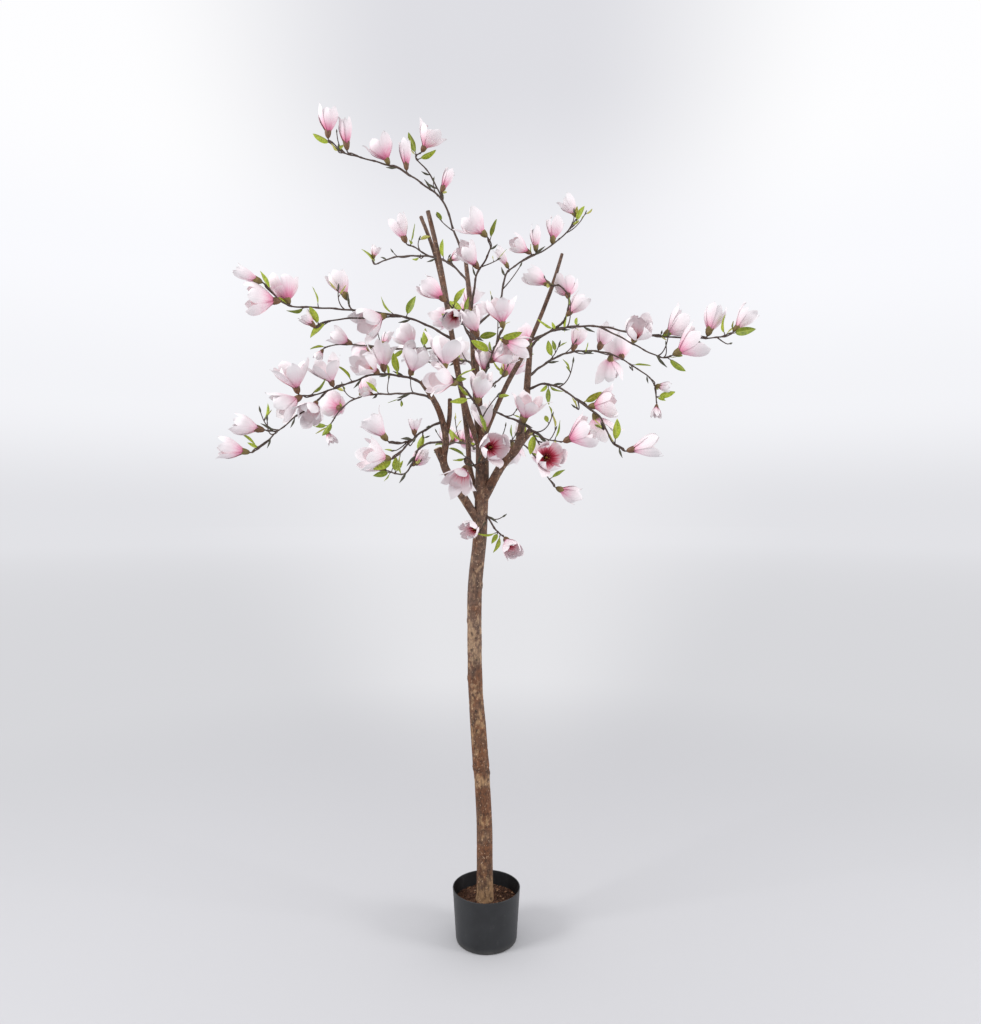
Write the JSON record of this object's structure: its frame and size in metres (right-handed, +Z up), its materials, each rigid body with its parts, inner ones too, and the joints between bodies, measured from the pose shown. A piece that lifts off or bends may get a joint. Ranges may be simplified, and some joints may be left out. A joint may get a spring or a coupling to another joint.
{
  "type": "artificial magnolia tree in a pot",
  "caption": "Artificial magnolia tree: a natural wood trunk with cut boughs in a filled nursery pot, set with moulded sprays of pale pink blossoms and green leaves.",
  "frame": {"origin": "middle of the pot's flat underside", "axes": "+Z up along the trunk, +X to the right and -Y towards the viewer, as the picture shows the tree"},
  "size_m": [1.3729, 0.9251, 2.3277],
  "materials": {
    "pot_plastic": "satin",
    "fill": "rough",
    "bark": "rough",
    "bough_wood": "rough",
    "blossom": "matte",
    "leaf": "matte",
    "stem": "matte"
  },
  "bodies": {
    "root": {"pot": "pot_plastic", "pot_fill": "fill", "trunk": "bark", "bough_left": "bough_wood", "bough_left_fork": "bough_wood", "bough_right": "bough_wood", "stick_front": "bough_wood", "stick_back": "bough_wood", "stick_right": "bough_wood", "spray_top": "blossom", "spray_upper_left": "blossom", "spray_upper_front": "blossom", "spray_upper_right": "blossom", "spray_left_high": "blossom", "spray_left_back": "blossom", "spray_left_main": "blossom", "spray_left_low_back": "blossom", "spray_left_front": "blossom", "spray_low_left": "blossom", "spray_front_high": "blossom", "spray_front_right": "blossom", "spray_front_low": "blossom", "spray_back_high": "blossom", "spray_back_right": "blossom", "spray_back_left": "blossom", "spray_back_low": "blossom", "spray_right_high": "blossom", "spray_right_up": "blossom", "spray_right_back": "blossom", "spray_right_front": "blossom", "spray_low_right": "blossom", "spray_low_back": "blossom", "spray_low": "blossom", "spray_low_front": "blossom", "spray_knot": "blossom"}
  },
  "joints": []
}
